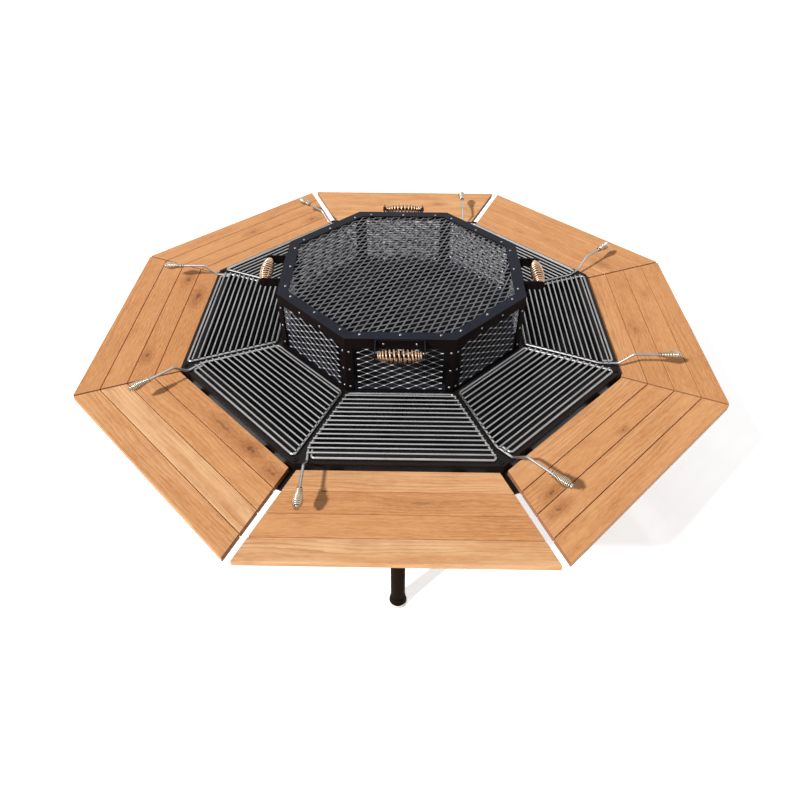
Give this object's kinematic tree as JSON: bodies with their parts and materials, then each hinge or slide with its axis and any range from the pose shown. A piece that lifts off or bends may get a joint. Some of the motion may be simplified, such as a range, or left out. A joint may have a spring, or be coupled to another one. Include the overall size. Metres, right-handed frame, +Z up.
{
  "type": "fire pit table",
  "caption": "Octagonal fire pit table with wooden boards on a steel frame, lift-out grill grates with spring grips, and a lift-off mesh spark guard over the fire bowl.",
  "frame": {"origin": "on the floor, under the middle of the fire bowl", "axes": "+Z up, -Y towards the board that faces the viewer in the picture, +X to the viewer's right"},
  "size_m": [2.0004, 2.0004, 0.9312],
  "materials": {
    "oak": "oiled, satin",
    "black_steel": "satin heat-resistant black",
    "bowl_steel": "matt, sooty",
    "grate_steel": "bright stainless",
    "mesh_steel": "dull grey expanded metal",
    "bronze_wire": "bronze-coloured spring wire",
    "grip_steel": "bright pale spring wire",
    "fastener_steel": "dark zinc",
    "foot_pad": "matt light grey"
  },
  "bodies": {
    "table": {"grate_frame": "black_steel", "rim_ring": "black_steel", "fire_bowl": "bowl_steel", "frame_bolts": "fastener_steel", "frame_nuts": "fastener_steel", "table_board_front": "oak", "table_board_front_right": "oak", "table_board_right": "oak", "table_board_back_right": "oak", "table_board_back": "oak", "table_board_back_left": "oak", "table_board_left": "oak", "table_board_front_left": "oak", "board_arms": "black_steel", "corner_brackets": "black_steel", "board_screws": "fastener_steel", "leg_front": "black_steel", "leg_right": "black_steel", "leg_back": "black_steel", "leg_left": "black_steel", "leg_collars": "black_steel", "foot_front": "foot_pad", "foot_right": "foot_pad", "foot_back": "foot_pad", "foot_left": "foot_pad"},
    "spark_guard": {"guard_top_ring": "black_steel", "guard_base_ring": "black_steel", "guard_posts": "black_steel", "guard_top_mesh": "mesh_steel", "guard_side_mesh": "mesh_steel", "guard_rivets": "fastener_steel", "handle_bracket_front": "black_steel", "handle_rod_front": "fastener_steel", "handle_spring_front": "bronze_wire", "handle_bracket_right": "black_steel", "handle_rod_right": "fastener_steel", "handle_spring_right": "bronze_wire", "handle_bracket_back": "black_steel", "handle_rod_back": "fastener_steel", "handle_spring_back": "bronze_wire", "handle_bracket_left": "black_steel", "handle_rod_left": "fastener_steel", "handle_spring_left": "bronze_wire"},
    "front_grill_grate": {"grate_front": "grate_steel", "grate_grip_front": "grip_steel"},
    "front_right_grill_grate": {"grate_front_right": "grate_steel", "grate_grip_front_right": "grip_steel"},
    "right_grill_grate": {"grate_right": "grate_steel", "grate_grip_right": "grip_steel"},
    "back_right_grill_grate": {"grate_back_right": "grate_steel", "grate_grip_back_right": "grip_steel"},
    "back_grill_grate": {"grate_back": "grate_steel", "grate_grip_back": "grip_steel"},
    "back_left_grill_grate": {"grate_back_left": "grate_steel", "grate_grip_back_left": "grip_steel"},
    "left_grill_grate": {"grate_left": "grate_steel", "grate_grip_left": "grip_steel"},
    "front_left_grill_grate": {"grate_front_left": "grate_steel", "grate_grip_front_left": "grip_steel"}
  },
  "joints": [
    {"name": "guard_lift", "type": "slide", "parent": "table", "child": "spark_guard", "axis": [0, 0, 1], "range_m": [0, 0.3]},
    {"name": "front_grate_lift", "type": "slide", "parent": "table", "child": "front_grill_grate", "axis": [0, 0, 1], "range_m": [0, 0.12]},
    {"name": "front_right_grate_lift", "type": "slide", "parent": "table", "child": "front_right_grill_grate", "axis": [0, 0, 1], "range_m": [0, 0.12]},
    {"name": "right_grate_lift", "type": "slide", "parent": "table", "child": "right_grill_grate", "axis": [0, 0, 1], "range_m": [0, 0.12]},
    {"name": "back_right_grate_lift", "type": "slide", "parent": "table", "child": "back_right_grill_grate", "axis": [0, 0, 1], "range_m": [0, 0.12]},
    {"name": "back_grate_lift", "type": "slide", "parent": "table", "child": "back_grill_grate", "axis": [0, 0, 1], "range_m": [0, 0.12]},
    {"name": "back_left_grate_lift", "type": "slide", "parent": "table", "child": "back_left_grill_grate", "axis": [0, 0, 1], "range_m": [0, 0.12]},
    {"name": "left_grate_lift", "type": "slide", "parent": "table", "child": "left_grill_grate", "axis": [0, 0, 1], "range_m": [0, 0.12]},
    {"name": "front_left_grate_lift", "type": "slide", "parent": "table", "child": "front_left_grill_grate", "axis": [0, 0, 1], "range_m": [0, 0.12]}
  ]
}
